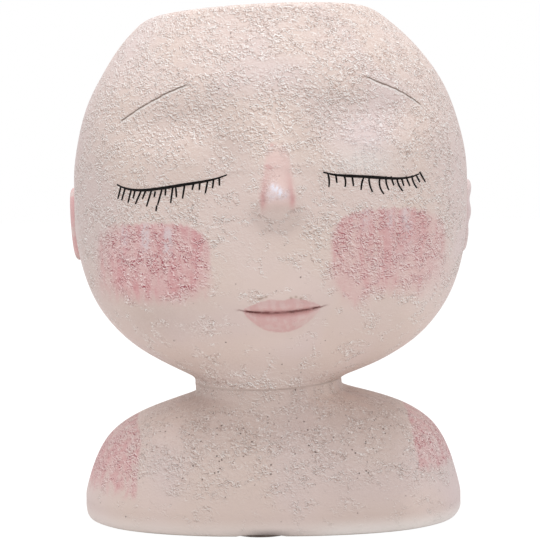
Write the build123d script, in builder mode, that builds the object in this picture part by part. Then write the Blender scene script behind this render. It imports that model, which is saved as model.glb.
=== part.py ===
from build123d import *
from math import cos, exp, pi, radians, sin, sqrt
import os

# A head planter: a bald doll-like head, hollow and open at the crown, stands on a hollow pair of shoulders.
# Frame: Z up, the face looks along -Y, the origin is on the table under the middle of the shoulders.
# All sizes are in millimetres.

# Shoulders: their half-width falls slowly from the foot up, then turns in fast towards the neck
shoulder_half_width = 62.8
shoulder_half_depth = 52.0
shoulder_level = 9.0
neck_stand = 3.9
shoulder_fall_share = 0.18
shoulder_fall_power = 1.2
shoulder_turn_share = 0.48
shoulder_turn_power = 5.4
shoulder_squareness = 0.5
shoulder_blend_power = 7.5
base_round = 3.5
base_wall = 5.0
floor_thickness = 6.0
collar_depth = 9.0

# Drip notch in the front foot
notch_half_width = 7.0
notch_height = 1.9
notch_depth = 12.0
notch_shift = 4.0

# Neck joint
neck_height = 46.7
neck_half_width = 24.6
neck_front = 40.0
neck_back = 32.0
neck_drift = 1.3
neck_drift_reach = 8.0
lean = 1.8
bond_thickness = 0.6
bond_inset = 0.5
spigot_radius = 17.0
spigot_length = 8.0
spigot_clearance = 0.3
spigot_lead = 1.0
throat_radius = 13.0
sump_ledge = 2.0

# Head: an egg, half an ellipse above its widest level and a fuller curve below it
head_half_width = 65.7
head_front = 62.0
head_back = 67.0
jaw_rise = 66.3
jaw_overlap = 1.5
jaw_fullness = 3.05
crown_rise = 56.2
crown_lean_share = 1.3
crown_drift = 1.2
crown_drift_rise = 22.0
rim_half_width = 37.0
rim_width = 6.0
mouth_lip = 2.5
head_wall = 5.0
rim_round = 6.5
mouth_round = 0.8

# Face, placed from the widest level of the head along a slanted midline
face_slant = 2.5
face_shift = 1.6
nose_proud = 6.5
nose_half_width = 6.5
nose_root_rise = 20.0
nose_tip_drop = 5.0
nose_under = 6.0
lid_spacing = 62.0
lid_rise = 6.5
lid_proud = 2.4
lid_half_width = 16.0
lid_half_height = 8.0
hollow_spacing = 36.0
hollow_rise = 13.0
hollow_depth = 2.2
hollow_half_width = 11.0
hollow_half_height = 9.0
lip_drop = 40.6
lip_gap = 5.2
lip_proud = 2.4
lip_half_width = 12.0
lip_half_height = 3.0
chin_drop = 54.0
chin_proud = 1.8
chin_reach = 13.0

# Ears
ear_proud = 1.4
ear_half_height = 12.8
ear_half_depth = 9.0
ear_drop = 13.4
ear_set_back = 5.0
ear_toe = 4.0
ear_round = 1.4
ear_root_share = 0.8

# Drain hole and its stopper
drain_radius = 7.0
plug_clearance = 0.05
plug_stand = 0.8
plug_lead = 0.6
recess_radius = 12.0
recess_depth = 3.4
flange_gap = 1.0
flange_thickness = 2.0
flange_round = 0.6
grip_length = 12.0
grip_width = 3.0
grip_height = 1.6

# Pads under the base
pad_radius = 9.0
pad_thickness = 1.5
pad_round = 0.3
pad_inset = 18.0

# How finely the cast skins are drawn
points_around = 72
front_bunching = 0.6
head_levels = 46
bowl_levels = 20
shoulder_levels = 18
chamber_levels = 12
blend_power = 10
cut_overrun = 4.0

# Sizes that follow from these
widest_height = neck_height + jaw_rise
crown_height = widest_height + crown_rise
jaw_reach = jaw_rise + jaw_overlap
dome_reach = crown_rise / sqrt(1 - (rim_half_width / head_half_width) ** 2)
mouth_share = (rim_half_width - rim_width) / (head_half_width - head_wall)
bowl_dome_reach = (crown_rise - mouth_lip) / sqrt(1 - mouth_share ** 2)
bowl_floor = widest_height - jaw_reach + head_wall
mouth_level = crown_height - mouth_lip
sump_radius = throat_radius + sump_ledge
underside = pad_thickness
floor_top = underside + floor_thickness
shoulder_reach = neck_height - neck_stand - shoulder_level
socket_radius = spigot_radius + spigot_clearance
chamber_top = neck_height - collar_depth
recess_top = underside + recess_depth
flange_radius = recess_radius - flange_gap


def leaning_plane(height, share=1):
    """Plane across the axis at a height, raised towards +X by a share of the lean."""
    angle = radians(lean * share)
    return Plane(origin=(0, 0, height), x_dir=(cos(angle), 0, sin(angle)), z_dir=(-sin(angle), 0, cos(angle)))


def smooth_larger(first, second, power=blend_power):
    """The larger of two sizes, with a turn where they meet that is softer for a lower power."""
    return (first ** power + second ** power) ** (1 / power)


def signed_power(value, power):
    """A power of a value that keeps the value's sign."""
    return abs(value) ** power * (1 if value >= 0 else -1)


def hill(distance, reach):
    """Bell that is 1 in the middle and dies out past its reach."""
    return exp(-(distance / reach) ** 2)


def ramp(value, low, high):
    """Soft step from 0 at the low value to 1 at the high one."""
    share = min(1, max(0, (value - low) / (high - low)))
    return share * share * (3 - 2 * share)


def spaced(low, high, count):
    """Heights from low to high, evenly spaced."""
    return [low + (high - low) * step / (count - 1) for step in range(count)]


def crowded(start, end, count):
    """Heights from start to end, closest together at the start."""
    return [end - (end - start) * cos(pi / 2 * step / (count - 1)) for step in range(count)]


def egg_share(rise, dome, jaw):
    """Width of the head at a rise over its widest level, as a share of the widest."""
    if rise >= 0:
        return sqrt(max(0, 1 - (rise / dome) ** 2))
    return sqrt(max(0, 1 - (-rise / jaw) ** jaw_fullness))


def shoulder_share(height):
    """Width of the shoulders at a height, as a share of the widest."""
    climb = max(0, height - shoulder_level) / shoulder_reach
    fall = shoulder_fall_share * climb ** shoulder_fall_power
    return max(0, 1 - fall - shoulder_turn_share * climb ** shoulder_turn_power)


def face_relief(x, rise):
    """How far the face stands forward of the plain egg, as the sum of its features."""
    slant = radians(face_slant)
    along = (x - face_shift) * cos(slant) + rise * sin(slant)
    up = rise * cos(slant) - (x - face_shift) * sin(slant)
    bridge = ramp(-up, -nose_root_rise, nose_tip_drop) * ramp(up + nose_tip_drop, -nose_under, 0)
    nose = nose_proud * hill(along, nose_half_width) * bridge
    lid = hill(abs(along) - lid_spacing / 2, lid_half_width) * hill(up - lid_rise, lid_half_height)
    hollow = hill(abs(along) - hollow_spacing / 2, hollow_half_width)
    hollow *= hill(up - hollow_rise, hollow_half_height)
    upper_lip = hill(up + lip_drop - lip_gap / 2, lip_half_height)
    lower_lip = hill(up + lip_drop + lip_gap / 2, lip_half_height)
    lips = lip_proud * hill(along, lip_half_width) * (upper_lip + lower_lip)
    chin = chin_proud * hill(along, chin_reach) * hill(up + chin_drop, chin_reach)
    return nose + lid_proud * lid - hollow_depth * hollow + lips + chin


def side_shift(height):
    """How far a skin has drifted sideways at a height, towards -X at the neck and again at the crown."""
    at_neck = neck_drift * ramp(abs(height - neck_height), neck_drift_reach, 0)
    at_crown = crown_drift * ramp(height, crown_height - crown_drift_rise, crown_height)
    return -(at_neck + at_crown)


def skin_edge(half_width, front, back, squareness=0, shift=0, relief=None):
    """Closed curve around one level of a cast skin, its points closest together at the front."""
    turns = [step / points_around for step in range(points_around)]
    power = 2 / (2 + squareness)
    points = []
    for turn in turns:
        angle = 2 * pi * turn - front_bunching * sin(2 * pi * turn) - pi / 2
        across, deep = signed_power(cos(angle), power), signed_power(sin(angle), power)
        y = deep * ((front + back) / 2 - deep * (front - back) / 2)
        if relief:
            y -= relief(half_width * across) * ramp(-deep, 0, 1 / 2)
        points.append(Vector(half_width * across + shift, y))
    return Edge.make_spline(points, periodic=True, parameters=[*turns, 1])


def head_edge(height):
    """The head's outer curve at a height, no smaller than the neck."""
    rise = height - widest_height
    share = egg_share(rise, dome_reach, jaw_reach)
    half_width = smooth_larger(head_half_width * share, neck_half_width)
    front = smooth_larger(head_front * share, neck_front)
    back = smooth_larger(head_back * share, neck_back)
    shift = side_shift(height)
    return skin_edge(half_width, front, back, shift=shift, relief=lambda x: face_relief(x, rise))


def bowl_edge(height):
    """The planting bowl's curve at a height, one wall inside the plain egg and no smaller than its sump."""
    share = egg_share(height - widest_height, bowl_dome_reach, jaw_reach - head_wall)
    half_width, front, back = (smooth_larger((size - head_wall) * share, sump_radius)
                               for size in (head_half_width, head_front, head_back))
    return skin_edge(half_width, front, back, shift=side_shift(height))


def shoulder_edge(height, inset=0):
    """The shoulders' curve at a height, set in by a wall."""
    share = shoulder_share(height)
    half_width = smooth_larger(shoulder_half_width * share, neck_half_width, shoulder_blend_power)
    front = smooth_larger(shoulder_half_depth * share, neck_front)
    back = smooth_larger(shoulder_half_depth * share, neck_back)
    squareness = shoulder_squareness * share
    return skin_edge(half_width - inset, front - inset, back - inset, squareness, side_shift(height))


# Head: the outer skin is lofted through its levels, cut off at the crown and the neck, then hollowed
with BuildPart() as head_bowl:
    for height in spaced(neck_height - cut_overrun / 2, crown_height + cut_overrun, head_levels):
        with BuildSketch(Plane.XY.offset(height)):
            with BuildLine():
                add(head_edge(height))
            make_face()
    loft()
    split(bisect_by=leaning_plane(crown_height, crown_lean_share), keep=Keep.BOTTOM)
    split(bisect_by=leaning_plane(neck_height).offset(bond_thickness / 2), keep=Keep.TOP)
    fillet(faces().sort_by(Axis.Z)[-1].edges(), radius=rim_round)

    # Ears: low slabs rooted in the wall, a little behind the widest line
    for side in (-1, 1):
        ear_middle = (side * (head_half_width + ear_proud), ear_set_back, widest_height - ear_drop)
        ear_out = (side * cos(radians(ear_toe)), 0, -sin(radians(ear_toe)))
        ear_plane = Plane(origin=ear_middle, x_dir=(0, 1, 0), z_dir=ear_out)
        with BuildSketch(ear_plane):
            Ellipse(ear_half_depth, ear_half_height)
        extrude(amount=-(ear_proud + head_wall * ear_root_share))
        fillet(faces().sort_by(Axis.X)[0 if side < 0 else -1].edges(), radius=ear_round)

    # Planting bowl: an egg one wall smaller, with the mouth carried straight up through the rim
    for height in crowded(bowl_floor, mouth_level, bowl_levels):
        with BuildSketch(Plane.XY.offset(height)):
            with BuildLine():
                add(bowl_edge(height))
            make_face()
    loft(mode=Mode.SUBTRACT)
    with BuildSketch(Plane.XY.offset(mouth_level)):
        with BuildLine():
            add(bowl_edge(mouth_level))
        make_face()
    extrude(amount=mouth_lip + cut_overrun, mode=Mode.SUBTRACT)
    rim_face = faces().filter_by(GeomType.PLANE).sort_by(Axis.Z)[-1]
    fillet(rim_face.inner_wires()[0].edges(), radius=mouth_round)

    # Spigot under the neck, and the throat that drains the bowl through it
    spigot_plane = leaning_plane(neck_height).offset(-spigot_length)
    with BuildSketch(spigot_plane):
        Circle(spigot_radius)
    extrude(amount=spigot_length + head_wall / 2)
    chamfer(faces().sort_by(Axis.Z)[0].edges(), length=spigot_lead)
    with BuildSketch(spigot_plane):
        Circle(throat_radius)
    extrude(amount=spigot_length + head_wall + cut_overrun, mode=Mode.SUBTRACT)
head_bowl.part.label = "head_bowl"

# Neck bond: a thin ring of adhesive between the two castings
with BuildPart() as neck_bond:
    with BuildSketch(leaning_plane(neck_height).offset(-bond_thickness / 2)):
        with BuildLine():
            sizes = (size - bond_inset for size in (neck_half_width, neck_front, neck_back))
            add(skin_edge(*sizes, shift=-neck_drift))
        make_face()
        Circle(socket_radius, mode=Mode.SUBTRACT)
    extrude(amount=bond_thickness)
neck_bond.part.label = "neck_bond"

# Shoulders: lofted through levels that take up the lean towards the neck, then hollowed
with BuildPart() as shoulder_base:
    for height in spaced(underside, neck_height + cut_overrun, shoulder_levels):
        with BuildSketch(leaning_plane(height, ramp(height, underside, neck_height))):
            with BuildLine():
                add(shoulder_edge(height))
            make_face()
    loft()
    split(bisect_by=leaning_plane(neck_height).offset(-bond_thickness / 2), keep=Keep.BOTTOM)
    fillet(faces().sort_by(Axis.Z)[0].edges(), radius=base_round)

    # Chamber: the same form, one wall smaller, squeezed between the floor and the foot of the collar
    for height in crowded(chamber_top, floor_top, chamber_levels):
        climb = (height - floor_top) / (chamber_top - floor_top)
        with BuildSketch(leaning_plane(height, ramp(climb, 0, 1))):
            with BuildLine():
                add(shoulder_edge(underside + (neck_height - underside) * climb, base_wall))
            make_face()
    loft(mode=Mode.SUBTRACT)

    # Collar bore that takes the spigot
    with BuildSketch(leaning_plane(neck_height)):
        Circle(socket_radius)
    extrude(amount=-(collar_depth + cut_overrun), mode=Mode.SUBTRACT)

    # Drain hole, with a recess below for the stopper's flange
    with BuildSketch(Plane.XY.offset(underside)):
        Circle(drain_radius)
    extrude(amount=floor_thickness + cut_overrun, mode=Mode.SUBTRACT)
    with BuildSketch(Plane.XY.offset(underside)):
        Circle(recess_radius)
    extrude(amount=recess_depth, mode=Mode.SUBTRACT)

    # Drip notch, a low arch under the front edge
    with BuildSketch(Plane.XZ.offset(shoulder_half_depth + cut_overrun)):
        with Locations((-notch_shift, underside)):
            Ellipse(notch_half_width, notch_height)
    extrude(amount=-(notch_depth + cut_overrun), mode=Mode.SUBTRACT)
shoulder_base.part.label = "shoulder_base"

# Stopper: a shank in the drain hole, a flange in the recess and a bar to pull it by
with BuildPart() as drain_plug:
    with BuildSketch(Plane.XY.offset(recess_top)):
        Circle(drain_radius - plug_clearance)
    extrude(amount=floor_top - recess_top + plug_stand)
    chamfer(edges().group_by(Axis.Z)[-1], length=plug_lead)
    with BuildSketch(Plane.XY.offset(recess_top)):
        Circle(flange_radius)
    extrude(amount=-flange_thickness)
    fillet(edges().group_by(Axis.Z)[0], radius=flange_round)
    with BuildSketch(Plane.XY.offset(recess_top - flange_thickness)):
        SlotOverall(grip_length, grip_width)
    extrude(amount=-grip_height)
drain_plug.part.label = "drain_plug"

# Four pads, stuck on in a diamond
pad_places = {
    "foot_pad_front": (-notch_shift, pad_inset - shoulder_half_depth),
    "foot_pad_rear": (0, shoulder_half_depth - pad_inset),
    "foot_pad_left": (pad_inset - shoulder_half_width, 0),
    "foot_pad_right": (shoulder_half_width - pad_inset, 0),
}
foot_pads = []
for pad_name, pad_place in pad_places.items():
    with BuildPart() as foot_pad:
        with BuildSketch(Plane.XY):
            with Locations(pad_place):
                Circle(pad_radius)
        extrude(amount=pad_thickness)
        fillet(edges().group_by(Axis.Z)[0], radius=pad_round)
    foot_pad.part.label = pad_name
    foot_pads.append(foot_pad.part)

os.makedirs("parts", exist_ok=True)
for piece in (head_bowl.part, neck_bond.part, shoulder_base.part, drain_plug.part, *foot_pads):
    export_step(piece, f"parts/{piece.label}.step")
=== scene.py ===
# %% [markdown]
# # A head planter in painted resin
# The planter is two castings of stone-filled resin: a doll-like head, hollow and open at the crown, and a hollow
# pair of shoulders. Both are brushed with a thick coat that dries in small wrinkles, and the face is painted on.
# The construction comes in as a fixed frame, so this lesson makes the looks: finer skins, paint and finishes.

# %% The fixed frame
from math import cos, radians, sin, tan

import bpy
import numpy as np
from mathutils import Euler, Matrix, Vector


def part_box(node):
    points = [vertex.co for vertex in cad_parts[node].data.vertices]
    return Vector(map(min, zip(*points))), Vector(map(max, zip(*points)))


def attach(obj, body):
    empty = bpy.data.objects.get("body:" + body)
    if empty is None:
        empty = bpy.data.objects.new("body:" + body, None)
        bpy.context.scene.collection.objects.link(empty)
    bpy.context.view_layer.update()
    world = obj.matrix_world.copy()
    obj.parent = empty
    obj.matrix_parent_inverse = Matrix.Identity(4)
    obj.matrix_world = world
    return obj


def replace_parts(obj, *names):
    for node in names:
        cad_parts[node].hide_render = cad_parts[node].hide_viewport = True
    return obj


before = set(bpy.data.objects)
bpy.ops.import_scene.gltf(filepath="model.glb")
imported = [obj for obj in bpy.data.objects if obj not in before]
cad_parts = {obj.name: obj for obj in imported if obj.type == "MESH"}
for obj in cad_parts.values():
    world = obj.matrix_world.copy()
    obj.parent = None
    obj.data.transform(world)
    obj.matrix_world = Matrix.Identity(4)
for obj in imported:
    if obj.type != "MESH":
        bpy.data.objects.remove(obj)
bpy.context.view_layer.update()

MM = 0.001
print("nodes:", sorted(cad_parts))

# %% [markdown]
# ## The camera
# The picture was taken level with the eyes from about two thirds of a metre, with a long lens turned a little
# clockwise. The focal length is in pixels of a 540 pixel frame, as the face is placed below by its pixels.

# %% Camera
FRAME_PX = 540
FOCAL_PX = 1939.4
CAMERA_AT = np.array([-0.4, -653.0, 110.0])
CAMERA_PITCH = radians(2.37)
CAMERA_ROLL = radians(0.5)

camera_data = bpy.data.cameras.new("camera")
camera_data.sensor_width = 36.0
camera_data.lens = camera_data.sensor_width * FOCAL_PX / FRAME_PX
camera = bpy.data.objects.new("camera", camera_data)
camera.matrix_world = (Matrix.Translation(Vector(CAMERA_AT * MM))
                       @ Euler((radians(90) - CAMERA_PITCH, 0, 0)).to_matrix().to_4x4()
                       @ Matrix.Rotation(-CAMERA_ROLL, 4, "Z"))
bpy.context.scene.collection.objects.link(camera)
bpy.context.scene.camera = camera
print("lens:", round(camera_data.lens, 1), "mm")

# %% [markdown]
# ## Formulas that serve shapes and paint alike
# Lips are both a swelling and a patch of colour. If one formula gives both, paint and shape can't drift apart.
# So the formulas take arrays or shader sockets, and a small class wraps a socket, so that sums add Math nodes.

# %% Shader maths
def operator(operation, reflected=False):
    """A method that adds a Math node, with its two values swapped if reflected."""
    def method(field, *others):
        values = (*others, field) if reflected else (field, *others)
        return field.finish.node("Math", {"operation": operation}, dict(enumerate(values)))
    return method


class Field:
    """A shader value that varies over the surface. Sums with it add Math nodes."""

    def __init__(self, finish, socket):
        self.finish, self.socket = finish, socket

    __add__, __radd__ = operator("ADD"), operator("ADD", True)
    __sub__, __rsub__ = operator("SUBTRACT"), operator("SUBTRACT", True)
    __mul__, __rmul__ = operator("MULTIPLY"), operator("MULTIPLY", True)
    __truediv__, __pow__ = operator("DIVIDE"), operator("POWER")
    __abs__, exponential = operator("ABSOLUTE"), operator("EXPONENT")

    def __neg__(self):
        return self * -1.0


class Finish:
    """A procedural material or world, built up node by node."""

    def __init__(self, owner):
        self.owner = owner
        owner.use_nodes = True
        self.tree = owner.node_tree
        self.tree.nodes.clear()

    def node(self, kind, settings=None, sockets=None, out=0):
        """Add a node: its settings first, then each socket's value or link."""
        made = self.tree.nodes.new("ShaderNode" + kind)
        for name, value in (settings or {}).items():
            setattr(made, name, value)
        for name, value in (sockets or {}).items():
            if isinstance(value, Field):
                self.tree.links.new(value.socket, made.inputs[name])
            else:
                made.inputs[name].default_value = value
        return Field(self, made.outputs[out]) if made.outputs else None

    def noise(self, size, detail=2.0, distortion=0.0, stretch=None, vector=None):
        """Cloudy noise, about 0.3 to 0.7, of a size in mm. Each axis times a stretch makes streaks."""
        vector = vector or self.vector
        if stretch:
            vector = self.node("VectorMath", {"operation": "MULTIPLY"}, {0: vector, 1: stretch})
        return self.node("TexNoise", sockets={"Vector": vector, "Scale": 1 / size, "Detail": detail,
                                              "Distortion": distortion})

    def patches(self, size, low, high, *more, **also):
        """Soft-edged patches: noise through a soft step from low to high."""
        return ramp(self.noise(size, *more, **also), low, high)

    def coats(self, tone, *coats):
        """The tone under coats, each a share and a colour: share 0 leaves the tone, 1 covers it."""
        for share, over in coats:
            tone = self.node("Mix", {"data_type": "RGBA"}, {0: share, 6: tone, 7: over}, out=2)
        return tone

    def surface(self, tone, rough, height, specular=0.5):
        """End the material in one Principled BSDF, with a bump of a height in millimetres."""
        normal = self.node("Bump", sockets={"Height": height, "Distance": MM, "Strength": 1.0})
        shader = self.node("BsdfPrincipled", sockets={"Base Color": tone, "Roughness": rough, "Normal": normal,
                                                      "Specular IOR Level": specular})
        self.node("OutputMaterial", sockets={"Surface": shader})
        return self.owner


def material(name):
    """A new material's finish, with Object coordinates in mm as its vector, and x, y and z."""
    finish = Finish(bpy.data.materials.new(name))
    metres = finish.node("TexCoord", out="Object")
    finish.vector = finish.node("VectorMath", {"operation": "SCALE"}, {"Vector": metres, "Scale": 1 / MM})
    return finish, [finish.node("SeparateXYZ", sockets={0: finish.vector}, out=axis) for axis in "XYZ"]


def colour(red, green, blue):
    """A screen colour of 0 to 255 as the linear colour that a shader takes."""
    share = np.array([red, green, blue]) / 255
    linear = np.where(share <= 0.04045, share / 12.92, ((share + 0.055) / 1.055) ** 2.4)
    return (*linear.tolist(), 1.0)


# %% Soft steps and bells
def ramp(value, low, high):
    """Soft step from 0 at low to 1 at high, s * s * (3 - 2 * s). Low may be the larger one."""
    if isinstance(value, Field):
        return value.finish.node("MapRange", {"interpolation_type": "SMOOTHSTEP"}, {0: value, 1: low, 2: high})
    share = np.clip((value - low) / (high - low), 0, 1)
    return share * share * (3 - 2 * share)


def hill(distance, reach):
    """Bell exp(-(distance / reach)^2), which is 1 in the middle."""
    fall = (distance / reach) ** 2 * -1.0
    return fall.exponential() if isinstance(fall, Field) else np.exp(fall)


def limited(value):
    """The value kept between 0 and 1."""
    if isinstance(value, Field):
        return value.finish.node("Clamp", sockets={0: value})
    return np.clip(value, 0, 1)


# %% [markdown]
# ## The head's form
# A lathe could turn an egg, but front and back differ, crown and neck are cut on a slant, and a face stands
# out of it. So the skin is a grid of angle and height, and every level is an oval whose width follows half an
# ellipse above the widest level and a fuller curve below.

# %% Sizes of the head
NECK_HEIGHT = sum(corner[2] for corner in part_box("neck_bond")) / 2 / MM
HEAD_FRONT, HEAD_BACK = 62.0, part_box("head_bowl")[1][1] / MM
HEAD_HALF_WIDTH = 65.7
NECK_HALF_WIDTH, NECK_FRONT, NECK_BACK = 24.6, 40.0, 32.0
NECK_DRIFT, NECK_DRIFT_REACH = 1.3, 8.0
LEAN, CROWN_LEAN = radians(1.8), radians(1.8 * 1.3)
JAW_RISE, JAW_OVERLAP, JAW_FULLNESS = 66.3, 1.5, 3.05
CROWN_RISE, CROWN_DRIFT, CROWN_DRIFT_RISE = 56.2, 1.2, 22.0
RIM_HALF_WIDTH, RIM_WIDTH, RIM_ROUND, MOUTH_LIP, MOUTH_ROUND = 37.0, 6.0, 2.8, 2.5, 1.5
HEAD_WALL = 5.0
BOND_THICKNESS, BOND_INSET, BOND_GROOVE = 0.6, 0.12, 0.08
SPIGOT_RADIUS, SPIGOT_LENGTH, SPIGOT_LEAD = 17.0, 8.0, 1.0
THROAT_RADIUS, SUMP_LEDGE = 13.0, 2.0
WIDEST = NECK_HEIGHT + JAW_RISE
CROWN = WIDEST + CROWN_RISE
JAW_REACH = JAW_RISE + JAW_OVERLAP
DOME_REACH = CROWN_RISE / (1 - (RIM_HALF_WIDTH / HEAD_HALF_WIDTH) ** 2) ** 0.5
HEAD_BLEND, SHOULDER_BLEND = 10, 7.5
print("widest level", round(WIDEST, 1), "mm, crown", round(CROWN, 1), "mm")


# %% The plain egg
def larger(first, second, power=HEAD_BLEND):
    """The larger of two sizes, (a^n + b^n)^(1/n), with a softer turn between for a low power n."""
    return (first ** power + second ** power) ** (1 / power)


def egg_share(rise, dome, jaw):
    """Width at a rise over the widest level as a share: sqrt(1 - (rise/dome)^2) above, (-rise/jaw)^n below."""
    above = 1 - (np.clip(rise, 0, None) / dome) ** 2
    below = 1 - (np.clip(-rise, 0, None) / jaw) ** JAW_FULLNESS
    return np.sqrt(np.clip(np.where(rise >= 0, above, below), 0, 1))


def head_sizes(z):
    """Half-width, front reach and back reach of the plain head at a height."""
    share = egg_share(z - WIDEST, DOME_REACH, JAW_REACH)
    return (larger(HEAD_HALF_WIDTH * share, NECK_HALF_WIDTH), larger(HEAD_FRONT * share, NECK_FRONT),
            larger(HEAD_BACK * share, NECK_BACK))


def side_shift(z):
    """How far a skin has drifted sideways at a height: soft steps towards -x at the neck and at the crown."""
    return -(NECK_DRIFT * ramp(abs(z - NECK_HEIGHT), NECK_DRIFT_REACH, 0)
             + CROWN_DRIFT * ramp(z, CROWN - CROWN_DRIFT_RISE, CROWN))


def oval(angle, half_width, front, back):
    """x = w cos a and y = s ((f + b) / 2 - s (f - b) / 2) with s = sin a, so y runs from -f to b."""
    deep = np.sin(angle)
    return half_width * np.cos(angle), deep * ((front + back) / 2 - deep * (front - back) / 2)


# %% [markdown]
# ## The face
# The face is quiet: two shut lids that bulge over their painted lines, a button of a nose on a faint bridge,
# and small closed lips, on a midline that slants a little. Each feature is a bell or a soft step added to how
# far the skin stands forward. Lids and mouth follow curves, which carry the paint as well.

# %% Curves of the eyes and the mouth
def unproject(px, py, surface):
    """x and z where the rays through pixels meet y = surface(x, z), found by stepping."""
    dx, dy = px - FRAME_PX / 2, py - FRAME_PX / 2
    across = (dx * cos(CAMERA_ROLL) - dy * sin(CAMERA_ROLL)) / FOCAL_PX
    down = (dy * cos(CAMERA_ROLL) + dx * sin(CAMERA_ROLL)) / FOCAL_PX
    ahead = cos(CAMERA_PITCH) - down * sin(CAMERA_PITCH)
    drop = sin(CAMERA_PITCH) + down * cos(CAMERA_PITCH)
    y = -HEAD_FRONT
    for _ in range(12):
        away = (y - CAMERA_AT[1]) / ahead
        x, z = CAMERA_AT[0] + across * away, CAMERA_AT[2] - drop * away
        y = surface(x, z)
    return x, z


def plain_face(x, z):
    """y of the egg's front at x and z, the oval's formula with s = -sqrt(1 - (x / w)^2)."""
    half_width, front, back = head_sizes(z)
    deep = -np.sqrt(np.clip(1 - ((x - side_shift(z)) / half_width) ** 2, 0, 1))
    return deep * ((front + back) / 2 - deep * (front - back) / 2)


def curve_through(pixels, surface=plain_face):
    """Polynomial z(x) through listed pixels, as a function of numbers or fields."""
    x, z = unproject(*np.reshape(pixels, (-1, 2)).T, surface)
    factors = np.polyfit(x, z, min(len(x) - 1, 3))[::-1].tolist()
    return lambda value: sum(factor * value ** power for power, factor in enumerate(factors) if power) + factors[0]


LEFT_EYE_PX = (117, 184.6, 130, 189, 143, 190.9, 160, 188, 180, 185.5, 200, 182.4, 213, 179.2, 227, 174.8)
RIGHT_EYE_PX = (323.4, 172.1, 332, 174.4, 346, 175.7, 364, 177, 380, 177.5, 401, 178.4, 419.4, 173.8)
MOUTH_PX = (237, 310, 245, 311, 257, 312, 270, 313, 282, 312, 295, 311.5, 307, 309, 324, 306)
eye_curves = [curve_through(LEFT_EYE_PX), curve_through(RIGHT_EYE_PX)]
eye_middles = [float(unproject(px, 180, plain_face)[0]) for px in (170, 371)]
mouth_curve = curve_through(MOUTH_PX)
MOUTH_MIDDLE = float(unproject(282, 312, plain_face)[0])
print("eyes at x", [round(x, 1) for x in eye_middles], "mouth at x", round(MOUTH_MIDDLE, 1))

# %% Lips
LIP_HALF_WIDTH, UPPER_LIP, LOWER_LIP, LIP_DIP = 12.4, 4.3, 6.3, 0.6


def lip_heights(x):
    """Heights of the lips over and under the mouth line, h (1 - |s|^2.3), with a dip in the upper lip."""
    share = limited(abs(x - MOUTH_MIDDLE) / LIP_HALF_WIDTH)
    upper = UPPER_LIP * (1 - share ** 2.3) - LIP_DIP * hill(share, 0.15)
    return upper, LOWER_LIP * (1 - share ** 2.3)


def lips_relief(x, z):
    """Two rolls that meet in a crease: each is a bell over its lip's height, and the crease a narrow bell."""
    upper, lower = lip_heights(x)
    rise = z - mouth_curve(x)
    inside = ramp(abs(x - MOUTH_MIDDLE), LIP_HALF_WIDTH + 2, LIP_HALF_WIDTH - 5)
    above = np.clip(rise / np.maximum(upper, 0.6), 0, 1.6)
    below = np.clip(-rise / np.maximum(lower, 0.8), 0, 1.6)
    roll = np.where(rise > 0, 1.9 * hill(above - 0.42, 0.5), 2.5 * hill(below - 0.45, 0.55))
    crease = hill(rise, 0.75) * ramp(abs(x - MOUTH_MIDDLE), LIP_HALF_WIDTH + 3.5, LIP_HALF_WIDTH - 2)
    return roll * inside - 0.85 * crease


# %% The whole face
FACE_SLANT, FACE_SHIFT = radians(2.5), 1.6


def on_midline(x, z):
    """Distance aside from the face's slanted midline, and the height along it from the widest level."""
    rise = z - WIDEST
    return ((x - FACE_SHIFT) * cos(FACE_SLANT) + rise * sin(FACE_SLANT),
            rise * cos(FACE_SLANT) - (x - FACE_SHIFT) * sin(FACE_SLANT))


def lid_relief(x, z):
    """A bulge above each eye line that ends at it in a low step, with a hollow between bulge and brow."""
    total = 0
    for middle, curve in zip(eye_middles, eye_curves):
        over, aside = z - curve(x), x - middle
        edge = ramp(over, -0.5, 0.7) * hill(aside, 22)
        total = total + 2.2 * hill(aside, 17) * hill(over - 8, 9) + 0.55 * edge * hill(over, 7)
        total = total - 2.0 * hill(aside, 19) * hill(over - 20, 6.5)
    return total


def nose_relief(aside, up):
    """A ridge that grows from the brow to a round tip and falls away under it, with two faint wings."""
    bridge = ramp(up, 24, -4) ** 1.3 * ramp(up, -12, -4.5)
    ridge = 5.4 * bridge * hill(aside, 5.8 + 1.4 * ramp(up, 12, -4))
    tip = 1.9 * hill(aside, 5.2) * hill(up + 5.2, 4.4)
    wings = 0.9 * (hill(aside - 5.2, 2.3) + hill(aside + 5.2, 2.3)) * hill(up + 7.2, 2.6)
    return ridge + tip + wings


def face_relief(x, z):
    """How far the skin stands forward of the plain egg: the sum of the face's features."""
    aside, up = on_midline(x, z)
    sockets = hill(abs(aside) - 17, 8) * hill(up - 12, 10)
    cheeks = hill(abs(aside) - 33, 17) * hill(up + 24, 17)
    chin = hill(aside, 13) * hill(up + 54, 11)
    under_lip = hill(aside, 10) * hill(up + 49, 3.2)
    return (nose_relief(aside, up) + lid_relief(x, z) + lips_relief(x, z)
            - 2.3 * sockets + 0.9 * cheeks + 1.6 * chin - 0.5 * under_lip)


def face_at(x, z):
    """y of the finished face at x and z."""
    deep = np.sqrt(np.clip(1 - (x / head_sizes(z)[0]) ** 2, 0, 1))
    return plain_face(x, z) - face_relief(x, z) * ramp(deep, 0, 0.5)


print("nose tip at y", round(float(face_at(1.8, WIDEST - 5)), 1), "mm")

# %% [markdown]
# ## Casting the skins
# A hollow casting is one closed sheet: outside, over the rim, down the inside and back through the neck. As a
# grid that is a torus of rings that wraps both ways, so it has no poles and no open seams. Levels are closest
# together where the face needs them.

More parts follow.
